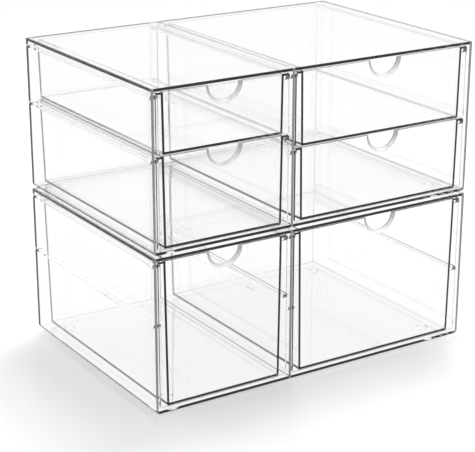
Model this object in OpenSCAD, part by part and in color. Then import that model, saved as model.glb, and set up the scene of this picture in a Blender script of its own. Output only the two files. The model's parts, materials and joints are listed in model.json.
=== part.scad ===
// Clear moulded desktop organizer: two identical stacking cases with six hanging drawers.
// Millimetres, +Z up, front towards -Y, origin on the ground under the middle of the organizer.

/* [Case] */
// Outside width of one case
case_w = 300; // [250:1:400]
// Outside depth of one case, front to back
case_d = 206; // [140:1:300]
// Height of one case without its feet
case_h = 127; // [110:1:160]
// Thickness of the top, bottom, side and back walls
case_wall = 2.4; // [1.8:0.1:3.2]
// Thickness of the upright divider between the bays
divider_t = 2.2; // [1.6:0.1:3.2]
// Inside width of the narrow left bay
left_bay_w = 120.7; // [90:0.1:170]
// Radius of the two long edges under the case
case_edge_r = 3; // [1:0.5:5]
// How far each outer side leans in from the top edge to the bottom one
case_lean = 0.4; // [0:0.1:0.8]

/* [Feet] */
// Height of the round feet, which is the gap between two stacked cases
foot_h = 2.2; // [1:0.1:5]
// Diameter of a foot where it meets the case
foot_d = 10; // [8:0.5:20]
// Distance from the case's edges to the middle of a foot
foot_inset = 22; // [12:0.5:30]

/* [Rails] */
// How far a rail stands out from its wall
rail_w = 4.5; // [3.6:0.1:7]
// Thickness of a rail
rail_t = 2; // [1.4:0.1:3]
// Radius of the rounded nose under a rail's front end
rail_nose_r = 4; // [3:0.5:6]

/* [Drawers] */
// Height of the middle left drawer
left_middle_h = 71.8; // [50:0.1:80]
// Height of the middle right drawer
right_middle_h = 59.6; // [50:0.1:80]
// Thickness of a drawer's front panel
panel_t = 2.2; // [1.6:0.1:3]
// Radius of the front panel's four corners
panel_corner_r = 1.5; // [0.5:0.1:3]
// Thickness of a drawer's side and back walls
drawer_wall = 2; // [1.4:0.1:2.6]
// Thickness of a drawer's floor
floor_t = 2; // [1.4:0.1:3]
// Thickness of the hanger flanges that ride on the rails
flange_t = 2; // [1.4:0.1:3]
// Draft of a drawer's side and back walls, in degrees
draft = 0.8; // [0.3:0.1:1.5]
// Outside radius of the upright corners at the back of a drawer
back_corner_r = 1.5; // [1.5:0.5:10]
// Outside radius where the walls of a drawer turn into its floor
floor_edge_r = 1; // [0.5:0.5:1.5]
// Least inside radius where a drawer's walls and floor meet
inside_r = 0.5; // [0.3:0.1:1]

/* [Finger notch] */
// Radius of the finger notch
notch_r = 16; // [12:0.5:22]
// Depth of the finger notch below the top of the panel
notch_depth = 15.5; // [8:0.5:18]
// Width of the bevel round the notch, seen from the front
notch_bevel = 3; // [0:0.5:4]
// Straight part of the notch's edge, behind the bevel
notch_land = 0.5; // [0.3:0.1:1]

/* [Clearances] */
// Setback of the front panels behind the front of the case
panel_setback = 0.8; // [0:0.1:3]
// Side gap between a front panel and the walls of its bay
panel_side_gap = 2.1; // [0.5:0.1:2.8]
// Side gap between a rail and the drawer wall beside it
rail_side_gap = 2.4; // [1:0.1:4]
// Running gap between a rail and the flange above it
rail_gap = 0.3; // [0.1:0.05:0.6]
// Gap between the back of a front panel and the rail noses
nose_gap = 0.4; // [0.3:0.1:2]
// Gap above the top drawers
top_gap = 1.2; // [0.6:0.1:3]
// Gap under the lower drawers of the upper case
bottom_gap = 1; // [0.5:0.1:3]
// Gap between two drawers that hang one above the other
row_gap = 0.8; // [0.5:0.1:3]
// Extra gap under the tall drawers
tall_gap = 0.8; // [0:0.1:3]
// Gap between a drawer and the back wall of its case
back_gap = 1.6; // [0.8:0.1:5]

/* [Hidden] */

clear_plastic = [0.82, 0.87, 0.9, 0.45];
clear_drawer = [0.9, 0.93, 0.95, 0.5];

// Heights in a case, above the underside of its body
drawer_top = case_h - case_wall - top_gap;
row_bottom = case_wall + bottom_gap;
left_upper_h = drawer_top - row_bottom - left_middle_h - row_gap;
right_upper_h = drawer_top - row_bottom - right_middle_h - row_gap;
tall_h = drawer_top - row_bottom - tall_gap;
stack_pitch = case_h + foot_h;

// Widths and middles of the two bays
right_bay_w = case_w - 2 * case_wall - divider_t - left_bay_w;
left_bay_x = -case_w / 2 + case_wall + left_bay_w / 2;
right_bay_x = case_w / 2 - case_wall - right_bay_w / 2;

// Depths, front to back
case_front = -case_d / 2;
bay_back = case_d / 2 - case_wall;
panel_front = case_front + panel_setback;
panel_back = panel_front + panel_t;
rail_front = panel_back + nose_gap;
drawer_back = bay_back - back_gap;

floor_lift = 0.2; // the floor of a drawer lies this much above the lower edge of its panel
slope = tan(draft);
foot_taper = 1.5; // the feet are this much smaller across at the ground
bond = 0.4; // how far joined shapes of one moulding run into each other
cut = 1; // how far a cutting shape runs past the face it opens
rim_land = 1; // the rim and the front end of a drawer's form run straight for this length
corner_steps = 8; // steps in a quarter turn
turn_steps = 4 * corner_steps;

function arc(centre, r, from, to) = [
    for (i = [0 : corner_steps])
        let (a = from + (to - from) * i / corner_steps)
        [centre[0] + r * cos(a), centre[1] + r * sin(a)]
];

// ---- The case ----

// Front view of the case's outside: flat top, leaning sides, rounded lower edges
module case_outline() {
    low_x = case_w / 2 - case_lean - case_edge_r;
    polygon(concat(
        [[-case_w / 2, case_h], [case_w / 2, case_h]],
        arc([low_x, case_edge_r], case_edge_r, 0, -90),
        arc([-low_x, case_edge_r], case_edge_r, -90, -180)
    ));
}

// The space for one column of drawers, open at the front
module bay(middle_x, width) {
    translate([middle_x - width / 2, case_front - cut, case_wall])
        cube([width, bay_back - case_front + cut, case_h - 2 * case_wall]);
}

// Side view of a rail: a thin shelf with a rounded nose under its front end
module rail_profile() {
    nose_back = rail_front + 2.5 * rail_nose_r;
    polygon(concat(
        arc([rail_front + rail_nose_r, 0], rail_nose_r, 180, 270),
        [[nose_back, -rail_t], [bay_back + bond, -rail_t], [bay_back + bond, 0]]
    ));
}

// Two rails facing each other across a bay, with their tops at the height z
module rail_pair(middle_x, width, z) {
    for (side = [-1, 1])
        translate([middle_x + side * (width - rail_w + bond) / 2, 0, z])
            rotate([90, 0, 90])
                linear_extrude(height = rail_w + bond, center = true) rail_profile();
}

module foot() {
    translate([0, 0, -foot_h])
        cylinder(d1 = foot_d - foot_taper, d2 = foot_d, h = foot_h + bond, $fn = 48);
}

// One whole case moulding, with the underside of its body at z = 0
module case_moulding() {
    rail_drop = flange_t + rail_gap;
    difference() {
        translate([0, case_d / 2, 0])
            rotate([90, 0, 0]) linear_extrude(height = case_d) case_outline();
        bay(left_bay_x, left_bay_w);
        bay(right_bay_x, right_bay_w);
    }
    rail_pair(left_bay_x, left_bay_w, drawer_top - rail_drop);
    rail_pair(right_bay_x, right_bay_w, drawer_top - rail_drop);
    rail_pair(left_bay_x, left_bay_w, row_bottom + left_middle_h - rail_drop);
    rail_pair(right_bay_x, right_bay_w, row_bottom + right_middle_h - rail_drop);
    for (x = [-1, 1], y = [-1, 1])
        translate([x * (case_w / 2 - foot_inset), y * (case_d / 2 - foot_inset), 0]) foot();
}

// ---- The drawers ----
// Each is one moulding: a drafted tub with rounded back corners and floor edges, a flange along the
// top of each side wall that hangs on the rails, and a flat front panel with a finger notch.

// A tub's form between the depths front and back, as wide as top_w at the height top_z. The part
// above top_z, up to end_z, follows the same draft. A wall thickness of inset makes the inner form,
// whose corners and edges don't get sharper than inside_r.
module tub_form(top_w, front, back, floor_z, top_z, end_z, inset) {
    corner_r = max(back_corner_r - inset, 2 * inside_r);
    edge_r = max(floor_edge_r - inset, inside_r);
    rise = end_z - top_z;
    drop = top_z - floor_z;
    end_x = top_w / 2 + slope * rise;
    end_y = back + slope * rise;
    low_x = top_w / 2 - slope * drop;
    low_y = back - slope * drop;
    hull() {
        for (side = [-1, 1]) {
            translate([side * (end_x - corner_r), end_y - corner_r, end_z - rim_land])
                cylinder(r = corner_r, h = rim_land, $fn = turn_steps);
            translate([side * (low_x - corner_r), low_y - corner_r, floor_z + edge_r])
                rotate_extrude($fn = turn_steps)
                    polygon(concat([[0, 0], [0, -edge_r]], arc([corner_r - edge_r, 0], edge_r, -90, 0)));
            translate([side * (end_x - corner_r / 2) - corner_r / 2, front, end_z - rim_land])
                cube([corner_r, rim_land, rim_land]);
            translate([side * (low_x - edge_r), front, floor_z + edge_r])
                rotate([-90, 0, 0]) cylinder(r = edge_r, h = rim_land, $fn = turn_steps);
        }
    }
}

// Front panel between the heights 0 and height, before its notch is cut
module panel(width, height) {
    x = width / 2 - panel_corner_r;
    low = panel_corner_r;
    high = height - panel_corner_r;
    translate([0, panel_back, 0])
        rotate([90, 0, 0])
            linear_extrude(height = panel_t)
                polygon(concat(
                    arc([x, high], panel_corner_r, 90, 0),
                    arc([x, low], panel_corner_r, 0, -90),
                    arc([-x, low], panel_corner_r, -90, -180),
                    arc([-x, high], panel_corner_r, -180, -270)
                ));
}

// What is cut out of a panel of this height for a fingertip: a half round that opens towards the front
module finger_notch(height) {
    back_r = notch_r - notch_bevel;
    translate([0, panel_front, height + notch_r - notch_depth])
        rotate([-90, 0, 0])
            rotate_extrude($fn = 96)
                polygon([
                    [0, -cut], [notch_r, -cut], [notch_r, 0], [back_r, panel_t - notch_land],
                    [back_r, panel_t + cut], [0, panel_t + cut]
                ]);
}

// Flange along the top of one side wall, its back end rounded off like the tub's corner
module flange(side, outer_x, inner_x, height) {
    end_r = outer_x - inner_x;
    inner_edge = inner_x - drawer_wall / 2;
    back_y = drawer_back - back_corner_r;
    translate([0, 0, height - flange_t])
        linear_extrude(height = flange_t)
            mirror([side < 0 ? 1 : 0, 0])
                polygon(concat(
                    [[inner_edge, panel_back - bond], [outer_x, panel_back - bond]],
                    arc([outer_x - end_r, back_y - end_r], end_r, 0, 90),
                    [[inner_edge, back_y]]
                ));
}

module drawer(middle_x, bay_w, height) {
    panel_w = bay_w - 2 * panel_side_gap;
    tub_w = bay_w - 2 * (rail_w + rail_side_gap);
    inner_w = tub_w - 2 * drawer_wall;
    translate([middle_x, 0, 0])
        difference() {
            union() {
                tub_form(tub_w, panel_back - bond, drawer_back, floor_lift, height, height, 0);
                for (side = [-1, 1]) flange(side, panel_w / 2, tub_w / 2, height);
                panel(panel_w, height);
            }
            tub_form(inner_w, panel_back, drawer_back - drawer_wall,
                floor_lift + floor_t, height, height + cut, drawer_wall);
            finger_notch(height);
        }
}

// ---- Placing ----

// Puts what is drawn for one case body at the height of the lower or the upper case
module in_lower_case() {
    translate([0, 0, foot_h]) children();
}

module in_upper_case() {
    translate([0, 0, foot_h + stack_pitch]) children();
}

// A drawer with its panel's top at the height top, above the underside of the case
module hung_drawer(middle_x, bay_w, height, top) {
    color(clear_drawer) translate([0, 0, top - height]) drawer(middle_x, bay_w, height);
}

module lower_case() {
    color(clear_plastic) in_lower_case() case_moulding();
}

module upper_case() {
    color(clear_plastic) in_upper_case() case_moulding();
}

module drawer_upper_left() {
    in_upper_case() hung_drawer(left_bay_x, left_bay_w, left_upper_h, drawer_top);
}

module drawer_middle_left() {
    in_upper_case() hung_drawer(left_bay_x, left_bay_w, left_middle_h, row_bottom + left_middle_h);
}

module drawer_upper_right() {
    in_upper_case() hung_drawer(right_bay_x, right_bay_w, right_upper_h, drawer_top);
}

module drawer_middle_right() {
    in_upper_case() hung_drawer(right_bay_x, right_bay_w, right_middle_h, row_bottom + right_middle_h);
}

module drawer_tall_left() {
    in_lower_case() hung_drawer(left_bay_x, left_bay_w, tall_h, drawer_top);
}

module drawer_tall_right() {
    in_lower_case() hung_drawer(right_bay_x, right_bay_w, tall_h, drawer_top);
}

lower_case();
upper_case();
drawer_upper_left();
drawer_middle_left();
drawer_upper_right();
drawer_middle_right();
drawer_tall_left();
drawer_tall_right();
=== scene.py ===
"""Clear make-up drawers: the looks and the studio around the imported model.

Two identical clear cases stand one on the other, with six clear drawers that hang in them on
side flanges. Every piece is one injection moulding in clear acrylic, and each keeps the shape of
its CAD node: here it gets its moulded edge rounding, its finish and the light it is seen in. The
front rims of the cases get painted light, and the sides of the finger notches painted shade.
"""

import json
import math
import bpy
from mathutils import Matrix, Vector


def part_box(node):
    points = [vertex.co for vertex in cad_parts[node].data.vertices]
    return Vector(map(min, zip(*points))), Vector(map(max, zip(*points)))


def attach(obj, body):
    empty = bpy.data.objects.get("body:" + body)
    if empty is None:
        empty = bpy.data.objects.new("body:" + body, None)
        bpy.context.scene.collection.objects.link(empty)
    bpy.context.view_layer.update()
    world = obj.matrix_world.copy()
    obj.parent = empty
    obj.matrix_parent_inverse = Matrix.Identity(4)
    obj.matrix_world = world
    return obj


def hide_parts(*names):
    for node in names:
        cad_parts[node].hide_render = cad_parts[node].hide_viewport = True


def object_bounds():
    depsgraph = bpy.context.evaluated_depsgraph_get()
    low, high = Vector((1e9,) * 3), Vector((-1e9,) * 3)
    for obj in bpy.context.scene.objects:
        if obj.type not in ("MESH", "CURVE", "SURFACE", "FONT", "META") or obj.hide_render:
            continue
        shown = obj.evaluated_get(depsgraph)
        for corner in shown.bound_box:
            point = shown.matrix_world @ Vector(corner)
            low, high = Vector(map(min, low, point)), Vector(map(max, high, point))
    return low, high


bl_info = {
    "name": "Clear Make-up Drawers",
    "version": (1, 0, 0),
    "blender": (4, 5, 0),
    "location": "View3D > Sidebar > Clear Drawers",
    "description": "Finishes the clear cases and drawers of a packed make-up organizer and lights them",
    "category": "Object",
}

import bmesh
import bpy
from bpy.props import FloatProperty, FloatVectorProperty, PointerProperty
from mathutils import Euler, Vector

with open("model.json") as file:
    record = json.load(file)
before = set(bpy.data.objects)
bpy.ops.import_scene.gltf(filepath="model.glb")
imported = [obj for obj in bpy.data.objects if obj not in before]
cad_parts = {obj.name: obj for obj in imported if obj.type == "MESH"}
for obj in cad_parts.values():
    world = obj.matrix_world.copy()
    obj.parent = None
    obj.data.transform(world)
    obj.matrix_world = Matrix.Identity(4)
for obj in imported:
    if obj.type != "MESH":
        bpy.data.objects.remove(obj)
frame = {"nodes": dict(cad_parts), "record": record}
CAD_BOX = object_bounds()

MM = 0.001  # metres in a millimetre

CASES = ("lower_case", "upper_case")
DRAWERS = (
    "drawer_upper_left",
    "drawer_middle_left",
    "drawer_upper_right",
    "drawer_middle_right",
    "drawer_tall_left",
    "drawer_tall_right",
)

# The photograph's camera. It was worked out from 13 corners of the two cases, with the lens
# pointing at the middle of the picture, so it needs no shift.
PHOTO_WIDTH = 475  # pixels
FOCAL_PIXELS = 1531.6
CAMERA_PLACE = (-0.6725, -1.0278, 0.5238)
CAMERA_TURN = (70.859, -0.093, -32.776)  # degrees about X, Y and Z
SENSOR_WIDTH = 36.0  # millimetres, as Blender counts them
NEAREST_SEEN = 0.01  # metres from the camera

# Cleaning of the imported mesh, which comes as split triangles.
WELD = 0.02 * MM
FLAT_ANGLE = math.radians(0.05)  # faces that bend less are one flat face
SHARP_ANGLE = math.radians(35)  # a sharper bend is shaded as an edge
EDGE_ANGLE = math.radians(40)  # a sharper outer edge gets the tool's rounding
SHORTEST_EDGE = 0.1 * MM  # a shorter edge is too small to round
EDGE_STEPS = 2
FLAT_WEIGHT = 100  # how much the largest faces rule the shading

STANDING_GAP = 0.05 * MM  # air that stays between a foot and what it stands on
FOOT_REACH = 0.1 * MM  # how near to the lowest height a point belongs to a foot's sole

# Parts of a case's front, as the CAD has them.
FRONT = CAD_BOX[0][1]  # where the flat front lies along Y
FRONT_LEAN = 0.99  # forward share that the normal of a front face has at least
CASE_HALF_WIDTH = CAD_BOX[1][0]
CASE_WALL = 2.4 * MM
DIVIDER = 2.2 * MM
DIVIDER_LEFT = -26.9 * MM  # left face of the divider
LEFT_RIM = (-CASE_HALF_WIDTH, -CASE_HALF_WIDTH + CASE_WALL)
DIVIDER_RIM = (DIVIDER_LEFT, DIVIDER_LEFT + DIVIDER)
RIGHT_RIM = (CASE_HALF_WIDTH - CASE_WALL, CASE_HALF_WIDTH)

WHITE = (1.0, 1.0, 1.0, 1.0)

# The clear plastic.
ACRYLIC_IOR = 1.49
HAZE_STARTS = 0.35  # level of the noise where a patch of haze starts
HAZE_FULL = 0.7  # and where it is full
NOTCH_LEAN = 0.87  # forward share of the normal of the bevel round a finger notch
NOTCH_LEAN_REACH = 0.03  # how far a normal of the bevel may be from that
NOTCH_SIDEWAYS = 1 - NOTCH_LEAN**2  # square of the normal's sideways share beside the notch
LAMP_PASS = 0.93  # share of the lamp's light that a surface lets through unbent
INTERNAL_REFLECTIONS = 12  # light caught in a wall goes dark after this many
CLEAR_LAYERS = 128  # surfaces that a ray may cross

# The lacquered board below.
GRAIN_WIDTH = 1.5 * MM
GRAIN_HEIGHT = 0.02 * MM
GRAIN_STRENGTH = 0.2
LACQUER_ROUGHNESS = (0.16, 0.24)  # least and most over the grain
FLOOR_DROP = 0.1 * MM  # air under the feet, so that sole and floor never share a plane
FLOOR_GLOW_SEEN = 0.3  # share of plain white in the floor as the camera sees it
FLOOR_GLOW_THROUGH = 0.85  # and as it is seen through or mirrored in the plastic
FLOOR_FADE_START = 1.8  # metres from the middle, where the floor starts to fade to white
FLOOR_FADE_END = 3.6

LAMP_PLACE = (0.5, 0.4, 1.6)
LAMP_AIM = (0.0, 0.0, 0.08)


def linear_colour(hex_text):
    """Turns an sRGB hex colour into the linear colour that Blender stores."""
    channels = []
    for start in (0, 2, 4):
        value = int(hex_text[start : start + 2], 16) / 255
        if value <= 0.04045:
            channels.append(value / 12.92)
        else:
            channels.append(((value + 0.055) / 1.055) ** 2.4)
    return (*channels, 1.0)


def add_node(tree, kind, settings=None, sockets=None):
    """Adds a node, sets its properties, and gives each socket a link or a value."""
    node = tree.nodes.new(kind)
    for name, value in (settings or {}).items():
        setattr(node, name, value)
    for key, value in (sockets or {}).items():
        if isinstance(value, bpy.types.NodeSocket):
            tree.links.new(value, node.inputs[key])
        else:
            node.inputs[key].default_value = value
    return node


def largest_of(tree, *values):
    """Takes the largest of several values. Of yes-or-no values that is 1 where any is 1."""
    largest = values[0]
    for value in values[1:]:
        largest = add_node(
            tree, "ShaderNodeMath", {"operation": "MAXIMUM"}, {0: largest, 1: value}
        ).outputs[0]
    return largest


def moulded_clear_acrylic(name, look, painted_light=0.0):
    """Clear acrylic, injection moulded in a polished steel tool.

    It is as clear as glass, with a faint grey in long ways through it, so that the walls look
    white face on and dark along their edges. The polish leaves long shallow ripples where the
    plastic shrank as it cooled, and use leaves a faint haze. Where a share of painted light is
    given, that share of the surface scatters white light back. This is painted light in place of
    the light a wall carries from its back edge, so that it looks grey where the clear plastic is dark.
    """
    material = bpy.data.materials.new(name)
    material.use_nodes = True
    tree = material.node_tree
    tree.nodes.clear()
    place = add_node(tree, "ShaderNodeTexCoord").outputs["Object"]
    ripple = add_node(
        tree,
        "ShaderNodeTexNoise",
        sockets={"Vector": place, "Scale": 1 / look.ripple_width, "Detail": 1.0, "Roughness": 0.4},
    )
    bump = add_node(
        tree,
        "ShaderNodeBump",
        sockets={
            "Height": ripple.outputs["Fac"],
            "Strength": 1.0,
            "Distance": look.ripple_height,
        },
    )
    smear = add_node(
        tree,
        "ShaderNodeTexNoise",
        sockets={"Vector": place, "Scale": 1 / look.haze_width, "Detail": 3.0},
    )
    haze = add_node(
        tree,
        "ShaderNodeMapRange",
        sockets={
            "Value": smear.outputs["Fac"],
            "From Min": HAZE_STARTS,
            "From Max": HAZE_FULL,
            "To Min": 0.0,
            "To Max": look.haze,
        },
    )
    clear = add_node(
        tree,
        "ShaderNodeBsdfPrincipled",
        sockets={
            "Base Color": WHITE,
            # painted light: a share of white scatter in place of the light a wall carries from its back
            # edge
            "Transmission Weight": 1.0 - painted_light,
            "IOR": ACRYLIC_IOR,
            "Roughness": haze.outputs["Result"],
            "Normal": bump.outputs["Normal"],
        },
    )
    lamp_light = add_node(
        tree,
        "ShaderNodeBsdfTransparent",
        sockets={"Color": (LAMP_PASS, LAMP_PASS, LAMP_PASS, 1.0)},
    )
    path = add_node(tree, "ShaderNodeLightPath")
    surface = add_node(
        tree,
        "ShaderNodeMixShader",
        sockets={
            0: path.outputs["Is Shadow Ray"],
            1: clear.outputs["BSDF"],
            2: lamp_light.outputs["BSDF"],
        },
    )
    depth = add_node(
        tree,
        "ShaderNodeVolumeAbsorption",
        sockets={"Color": (*look.tint, 1.0), "Density": look.tint_density},
    )
    add_node(
        tree,
        "ShaderNodeOutputMaterial",
        sockets={"Surface": surface.outputs["Shader"], "Volume": depth.outputs["Volume"]},
    )
    return material


def satin_and_shade_notch_bevels(material, look):
    """Makes the bevel round each finger notch satin, and its sides grey.

    Refraction alone leaves the bevel nearly white. The sides get painted shade: their colour is
    darker the more their normal points sideways. The satin and the painted shade are matched to the
    photograph, where the sides of a notch are dark and its bottom is clear.
    """
    tree = material.node_tree
    clear = next(node for node in tree.nodes if node.type == "BSDF_PRINCIPLED")
    haze = clear.inputs["Roughness"].links[0].from_socket
    facing = add_node(tree, "ShaderNodeNewGeometry")
    lean = add_node(
        tree, "ShaderNodeSeparateXYZ", sockets={"Vector": facing.outputs["True Normal"]}
    )
    forward = add_node(tree, "ShaderNodeMath", {"operation": "ABSOLUTE"}, {0: lean.outputs["Y"]})
    bevel = add_node(
        tree,
        "ShaderNodeMath",
        {"operation": "COMPARE"},
        {0: forward.outputs[0], 1: NOTCH_LEAN, 2: NOTCH_LEAN_REACH},
    )
    satin = add_node(
        tree,
        "ShaderNodeMath",
        {"operation": "MULTIPLY_ADD"},
        {0: bevel.outputs[0], 1: look.notch_satin, 2: haze},
    )
    # painted shade: the sides of the bevel are made darker, the more their normal points sideways
    sideways = add_node(
        tree,
        "ShaderNodeMath",
        {"operation": "MULTIPLY"},
        {0: lean.outputs["X"], 1: lean.outputs["X"]},
    )
    side = add_node(
        tree,
        "ShaderNodeMath",
        {"operation": "MULTIPLY"},
        {0: bevel.outputs[0], 1: sideways.outputs[0]},
    )
    through = add_node(
        tree,
        "ShaderNodeMath",
        {"operation": "MULTIPLY_ADD"},
        {0: side.outputs[0], 1: -look.notch_painted_shade / NOTCH_SIDEWAYS, 2: 1.0},
    )
    tree.links.new(satin.outputs[0], clear.inputs["Roughness"])
    # the painted shade goes into the colour of the clear plastic
    tree.links.new(through.outputs[0], clear.inputs["Base Color"])


def is_front(face):
    """Tells whether a face is part of a case's flat front."""
    return face.normal.y < -FRONT_LEAN and abs(face.calc_center_median().y - FRONT) < WELD


def part_off_upright_rims(shell):
    """Gives the upright front rims of a case, two sides and divider, the second material.

    The front is cut along the inner walls, so that these rims are faces of their own. That
    material paints light on them, matched to the photograph, in place of the light that the wall
    carries from its back edge. INTERNAL_REFLECTIONS is the likely reason why they are too dark
    without it.
    """
    for x in (LEFT_RIM[1], *DIVIDER_RIM, RIGHT_RIM[0]):
        front = [face for face in shell.faces if is_front(face)]
        edges = {edge for face in front for edge in face.edges}
        corners = {corner for face in front for corner in face.verts}
        bmesh.ops.bisect_plane(
            shell,
            geom=[*front, *edges, *corners],
            plane_co=(x, 0.0, 0.0),
            plane_no=(1.0, 0.0, 0.0),
            dist=WELD,
        )
    for face in shell.faces:
        middle = face.calc_center_median().x
        in_rim = any(low < middle < high for low, high in (LEFT_RIM, DIVIDER_RIM, RIGHT_RIM))
        if in_rim and is_front(face):
            face.material_index = 1


def weld_and_flatten(mesh, is_case):
    """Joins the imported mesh's split triangles into whole flat faces and marks its outer edges."""
    shell = bmesh.new()
    shell.from_mesh(mesh)
    bmesh.ops.remove_doubles(shell, verts=shell.verts, dist=WELD)
    bmesh.ops.dissolve_limit(
        shell, angle_limit=FLAT_ANGLE, verts=shell.verts, edges=shell.edges
    )
    shell.normal_update()
    if is_case:
        part_off_upright_rims(shell)
    rounding = shell.edges.layers.float.new("bevel_weight_edge")
    for edge in shell.edges:
        outer = edge.is_manifold and edge.is_convex and edge.calc_face_angle() > EDGE_ANGLE
        edge[rounding] = float(outer and edge.calc_length() > SHORTEST_EDGE)
    shell.to_mesh(mesh)
    shell.free()
    packed = ("custom_normal", "sharp_edge", "sharp_face")
    for name in [a.name for a in mesh.attributes if a.name in packed]:
        mesh.attributes.remove(mesh.attributes[name])


def moulding(node_name, piece_name, materials, edge_round):
    """Makes the finished moulding that stands for a CAD node, with rounded tool edges."""
    node = frame["nodes"][node_name]
    mesh = node.data.copy()
    mesh.name = piece_name
    mesh.materials.clear()
    for material in materials:
        mesh.materials.append(material)
    weld_and_flatten(mesh, node_name in CASES)
    mesh.polygons.foreach_set("use_smooth", [True] * len(mesh.polygons))
    mesh.set_sharp_from_angle(angle=SHARP_ANGLE)
    piece = bpy.data.objects.new(piece_name, mesh)
    bpy.context.scene.collection.objects.link(piece)
    edge = piece.modifiers.new("Moulded edge", "BEVEL")
    edge.width = edge_round
    edge.segments = EDGE_STEPS
    edge.limit_method = "WEIGHT"
    edge.use_clamp_overlap = False
    flats = piece.modifiers.new("Flat walls", "WEIGHTED_NORMAL")
    flats.mode = "FACE_AREA"
    flats.weight = FLAT_WEIGHT
    flats.keep_sharp = True
    bodies = frame["record"]["behaviour"]["bodies"]
    body = next(name for name, nodes in bodies.items() if node_name in nodes)
    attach(piece, body)
    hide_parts(node_name)
    return piece


def stand_on_air(piece, height):
    """Lifts a case's soles, which end at that height, so that no two faces share a plane."""
    for vertex in piece.data.vertices:
        if abs(vertex.co.z - height) < FOOT_REACH:
            vertex.co.z += STANDING_GAP


class PlasticSettings:
    """What can be changed on both kinds of moulding."""

    tint: FloatVectorProperty(
        name="Tint",
        description="Colour that light takes on after a long way through the plastic",
        subtype="COLOR",
        size=3,
        min=0.0,
        max=1.0,
        default=linear_colour("8C8F8E")[:3],
    )
    tint_density: FloatProperty(
        name="Tint density",
        description="How soon the tint is reached, per metre of plastic",
        min=0.0,
        default=3.0,
    )
    edge_round: FloatProperty(
        name="Edge radius",
        description="Rounding that the tool leaves on outer edges",
        unit="LENGTH",
        min=0.0,
        default=0.2 * MM,
    )
    ripple_width: FloatProperty(
        name="Ripple width",
        description="Distance between the shallow waves in the polish",
        unit="LENGTH",
        min=1 * MM,
        default=38 * MM,
    )
    ripple_height: FloatProperty(
        name="Ripple height",
        description="Height of the shallow waves in the polish",
        unit="LENGTH",
        min=0.0,
        default=0.03 * MM,
    )
    haze_width: FloatProperty(
        name="Haze width",
        description="Size of the patches of haze",
        unit="LENGTH",
        min=1 * MM,
        default=24 * MM,
    )
    haze: FloatProperty(
        name="Haze",
        description="Most roughness that a patch of haze has",
        subtype="FACTOR",
        min=0.0,
        max=1.0,
        default=0.03,
    )


class CaseSettings(PlasticSettings, bpy.types.PropertyGroup):
    """Finish of the two cases."""

    # painted light on the upright front rims: white scatter in place of the light the wall carries from
    # its back edge
    rim_painted_light: FloatProperty(
        name="Rim painted light",
        description="Light that the upright front rims scatter, matched to the photograph",
        subtype="FACTOR",
        min=0.0,
        max=1.0,
        default=0.3,
    )


class DrawerSettings(PlasticSettings, bpy.types.PropertyGroup):
    """Finish of the six drawers."""

    notch_satin: FloatProperty(
        name="Notch satin",
        description="Roughness of the bevel of a finger notch, matched to the photograph",
        subtype="FACTOR",
        min=0.0,
        max=1.0,
        default=0.2,
    )
    # painted shade on the sides of each finger notch bevel, darker the more they face sideways
    notch_painted_shade: FloatProperty(
        name="Notch dimming",
        description="Light that the sides of a finger notch keep back, matched to the photograph",
        subtype="FACTOR",
        min=0.0,
        max=1.0,
        default=0.85,
    )


class StudioSettings(bpy.types.PropertyGroup):
    """Floor, sky and lamp."""

    floor_colour: FloatVectorProperty(
        name="Floor colour",
        description="Colour of the pale floor",
        subtype="COLOR",
        size=3,
        min=0.0,
        max=1.0,
        default=linear_colour("FAFAFA")[:3],
    )
    floor_size: FloatProperty(
        name="Floor size",
        description="Length of each side of the floor",
        unit="LENGTH",
        min=1.0,
        default=8.0,
    )
    sky_level: FloatProperty(
        name="Sky level",
        description="Strength of the white light from all round",
        min=0.0,
        default=0.6,
    )
    lamp_power: FloatProperty(
        name="Lamp power",
        description="Power of the soft lamp, in watts",
        min=0.0,
        default=28.0,
    )
    lamp_size: FloatProperty(
        name="Lamp size",
        description="Side of the square soft lamp",
        unit="LENGTH",
        min=0.05,
        default=0.5,
    )


class OBJECT_OT_clear_cases(bpy.types.Operator):
    """Finish the two clear cases"""

    bl_idname = "object.clear_cases"
    bl_label = "Clear Cases"
    bl_options = {"REGISTER", "UNDO"}

    def execute(self, context):
        look = context.scene.clear_cases
        materials = (
            moulded_clear_acrylic("Moulded clear acrylic, case", look),
            # second material: painted light on the upright front rims
            moulded_clear_acrylic("Moulded clear acrylic, painted light rim", look, look.rim_painted_light),
        )
        for name in CASES:
            piece = moulding(name, "clear_" + name, materials, look.edge_round)
            lowest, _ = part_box(name)
            stand_on_air(piece, lowest.z)
        return {"FINISHED"}


class OBJECT_OT_clear_drawers(bpy.types.Operator):
    """Finish the six clear drawers"""

    bl_idname = "object.clear_drawers"
    bl_label = "Clear Drawers"
    bl_options = {"REGISTER", "UNDO"}

    def execute(self, context):
        look = context.scene.clear_drawers
        acrylic = moulded_clear_acrylic("Moulded clear acrylic, drawer", look)
        # satin on the notch bevels, and painted shade on their sides
        satin_and_shade_notch_bevels(acrylic, look)
        for name in DRAWERS:
            moulding(name, "clear_" + name, (acrylic,), look.edge_round)
        return {"FINISHED"}


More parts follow.
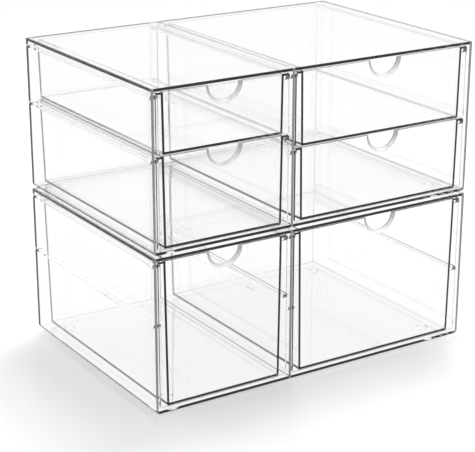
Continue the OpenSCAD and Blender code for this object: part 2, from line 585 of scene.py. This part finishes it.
def lacquered_board(colour):
    """White board with a sprayed satin lacquer.

    It keeps a soft shadow, and the lacquer mirrors the foot of the drawers faintly and softly.
    Part of what the camera and the plastic see of it is plain white, and all of it far away.
    """
    material = bpy.data.materials.new("Satin lacquered board")
    material.use_nodes = True
    tree = material.node_tree
    tree.nodes.clear()
    place = add_node(tree, "ShaderNodeTexCoord").outputs["Object"]
    grain = add_node(
        tree,
        "ShaderNodeTexNoise",
        sockets={"Vector": place, "Scale": 1 / GRAIN_WIDTH, "Detail": 2.0},
    )
    bump = add_node(
        tree,
        "ShaderNodeBump",
        sockets={
            "Height": grain.outputs["Fac"],
            "Strength": GRAIN_STRENGTH,
            "Distance": GRAIN_HEIGHT,
        },
    )
    satin = add_node(
        tree,
        "ShaderNodeMapRange",
        sockets={
            "Value": grain.outputs["Fac"],
            "To Min": LACQUER_ROUGHNESS[0],
            "To Max": LACQUER_ROUGHNESS[1],
        },
    )
    lacquer = add_node(
        tree,
        "ShaderNodeBsdfPrincipled",
        sockets={
            "Base Color": (*colour, 1.0),
            "Roughness": satin.outputs["Result"],
            "Specular IOR Level": 0.5,
            "Normal": bump.outputs["Normal"],
        },
    )
    white = add_node(tree, "ShaderNodeEmission", sockets={"Color": WHITE, "Strength": 1.0})
    path = add_node(tree, "ShaderNodeLightPath")
    seen = add_node(
        tree,
        "ShaderNodeMath",
        {"operation": "MULTIPLY"},
        {0: path.outputs["Is Camera Ray"], 1: FLOOR_GLOW_SEEN},
    )
    plastic_ray = largest_of(
        tree, path.outputs["Is Glossy Ray"], path.outputs["Is Transmission Ray"]
    )
    through = add_node(
        tree, "ShaderNodeMath", {"operation": "MULTIPLY"}, {0: plastic_ray, 1: FLOOR_GLOW_THROUGH}
    )
    reach = add_node(tree, "ShaderNodeVectorMath", {"operation": "LENGTH"}, {0: place})
    far = add_node(
        tree,
        "ShaderNodeMapRange",
        sockets={
            "Value": reach.outputs["Value"],
            "From Min": FLOOR_FADE_START,
            "From Max": FLOOR_FADE_END,
        },
    )
    looked_at = largest_of(tree, path.outputs["Is Camera Ray"], plastic_ray)
    faded = add_node(
        tree, "ShaderNodeMath", {"operation": "MULTIPLY"}, {0: far.outputs["Result"], 1: looked_at}
    )
    glow = largest_of(tree, seen.outputs[0], through.outputs[0], faded.outputs[0])
    mixed = add_node(
        tree,
        "ShaderNodeMixShader",
        sockets={0: glow, 1: lacquer.outputs["BSDF"], 2: white.outputs["Emission"]},
    )
    add_node(tree, "ShaderNodeOutputMaterial", sockets={"Surface": mixed.outputs["Shader"]})
    return material


def lay_floor(settings):
    """One flat board under the feet."""
    half = settings.floor_size / 2
    mesh = bpy.data.meshes.new("studio_floor")
    corners = [(-half, -half), (half, -half), (half, half), (-half, half)]
    mesh.from_pydata([(x, y, -FLOOR_DROP) for x, y in corners], [], [(0, 1, 2, 3)])
    mesh.materials.append(lacquered_board(settings.floor_colour))
    floor = bpy.data.objects.new("studio_floor", mesh)
    bpy.context.scene.collection.objects.link(floor)


def white_surround(scene, level):
    """An even white surround.

    Camera, mirror and see-through rays find it at exactly 1, and all others at the given level.
    """
    world = bpy.data.worlds.new("White surround")
    world.use_nodes = True
    tree = world.node_tree
    tree.nodes.clear()
    backdrop = add_node(tree, "ShaderNodeBackground", sockets={"Color": WHITE, "Strength": 1.0})
    sky = add_node(tree, "ShaderNodeBackground", sockets={"Color": WHITE, "Strength": level})
    path = add_node(tree, "ShaderNodeLightPath")
    seen = largest_of(
        tree,
        path.outputs["Is Camera Ray"],
        path.outputs["Is Glossy Ray"],
        path.outputs["Is Transmission Ray"],
    )
    mixed = add_node(
        tree,
        "ShaderNodeMixShader",
        sockets={0: seen, 1: sky.outputs["Background"], 2: backdrop.outputs["Background"]},
    )
    add_node(tree, "ShaderNodeOutputWorld", sockets={"Surface": mixed.outputs["Shader"]})
    world.cycles.sampling_method = "NONE"
    scene.world = world


def hang_lamp(settings):
    """One large soft lamp behind and to the right, so that the shadow falls to the front left."""
    light = bpy.data.lights.new("soft_lamp", "AREA")
    light.size = settings.lamp_size
    light.energy = settings.lamp_power
    lamp = bpy.data.objects.new("soft_lamp", light)
    lamp.location = LAMP_PLACE
    aim = Vector(LAMP_AIM) - Vector(LAMP_PLACE)
    lamp.rotation_euler = aim.to_track_quat("-Z", "Y").to_euler()
    lamp.visible_transmission = False
    lamp.visible_glossy = False
    bpy.context.scene.collection.objects.link(lamp)


def set_camera(scene):
    """The photograph's own viewpoint and framing."""
    lens = bpy.data.cameras.new("photo_camera")
    lens.sensor_width = SENSOR_WIDTH
    lens.lens = FOCAL_PIXELS / PHOTO_WIDTH * SENSOR_WIDTH
    lens.clip_start = NEAREST_SEEN
    camera = bpy.data.objects.new("photo_camera", lens)
    camera.location = CAMERA_PLACE
    camera.rotation_euler = Euler([math.radians(angle) for angle in CAMERA_TURN])
    scene.collection.objects.link(camera)
    scene.camera = camera


class OBJECT_OT_drawer_studio(bpy.types.Operator):
    """Set up the floor, the white surround, the lamp and the camera"""

    bl_idname = "object.drawer_studio"
    bl_label = "Drawer Studio"
    bl_options = {"REGISTER", "UNDO"}

    def execute(self, context):
        scene = context.scene
        settings = scene.drawer_studio
        lay_floor(settings)
        white_surround(scene, settings.sky_level)
        hang_lamp(settings)
        set_camera(scene)
        scene.view_settings.view_transform = "Standard"
        scene.cycles.max_bounces = CLEAR_LAYERS
        scene.cycles.transmission_bounces = CLEAR_LAYERS
        scene.cycles.transparent_max_bounces = CLEAR_LAYERS
        scene.cycles.glossy_bounces = INTERNAL_REFLECTIONS
        scene.cycles.caustics_reflective = True
        scene.cycles.caustics_refractive = True
        return {"FINISHED"}


class VIEW3D_PT_clear_drawers(bpy.types.Panel):
    """Lists the mouldings and the studio"""

    bl_idname = "VIEW3D_PT_clear_drawers"
    bl_label = "Clear Drawers"
    bl_space_type = "VIEW_3D"
    bl_region_type = "UI"
    bl_category = "Clear Drawers"

    def draw(self, context):
        scene = context.scene
        for settings, operator in (
            (scene.clear_cases, OBJECT_OT_clear_cases),
            (scene.clear_drawers, OBJECT_OT_clear_drawers),
            (scene.drawer_studio, OBJECT_OT_drawer_studio),
        ):
            box = self.layout.box()
            for name in settings.bl_rna.properties.keys():
                if name not in ("rna_type", "name"):
                    box.prop(settings, name)
            box.operator(operator.bl_idname)


CLASSES = (
    CaseSettings,
    DrawerSettings,
    StudioSettings,
    OBJECT_OT_clear_cases,
    OBJECT_OT_clear_drawers,
    OBJECT_OT_drawer_studio,
    VIEW3D_PT_clear_drawers,
)


def register():
    for kind in CLASSES:
        bpy.utils.register_class(kind)
    bpy.types.Scene.clear_cases = PointerProperty(type=CaseSettings)
    bpy.types.Scene.clear_drawers = PointerProperty(type=DrawerSettings)
    bpy.types.Scene.drawer_studio = PointerProperty(type=StudioSettings)


def unregister():
    del bpy.types.Scene.drawer_studio
    del bpy.types.Scene.clear_drawers
    del bpy.types.Scene.clear_cases
    for kind in reversed(CLASSES):
        bpy.utils.unregister_class(kind)


def main():
    """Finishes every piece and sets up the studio."""
    register()
    bpy.ops.object.clear_cases()
    bpy.ops.object.clear_drawers()
    bpy.ops.object.drawer_studio()


if __name__ == "__main__":
    main()
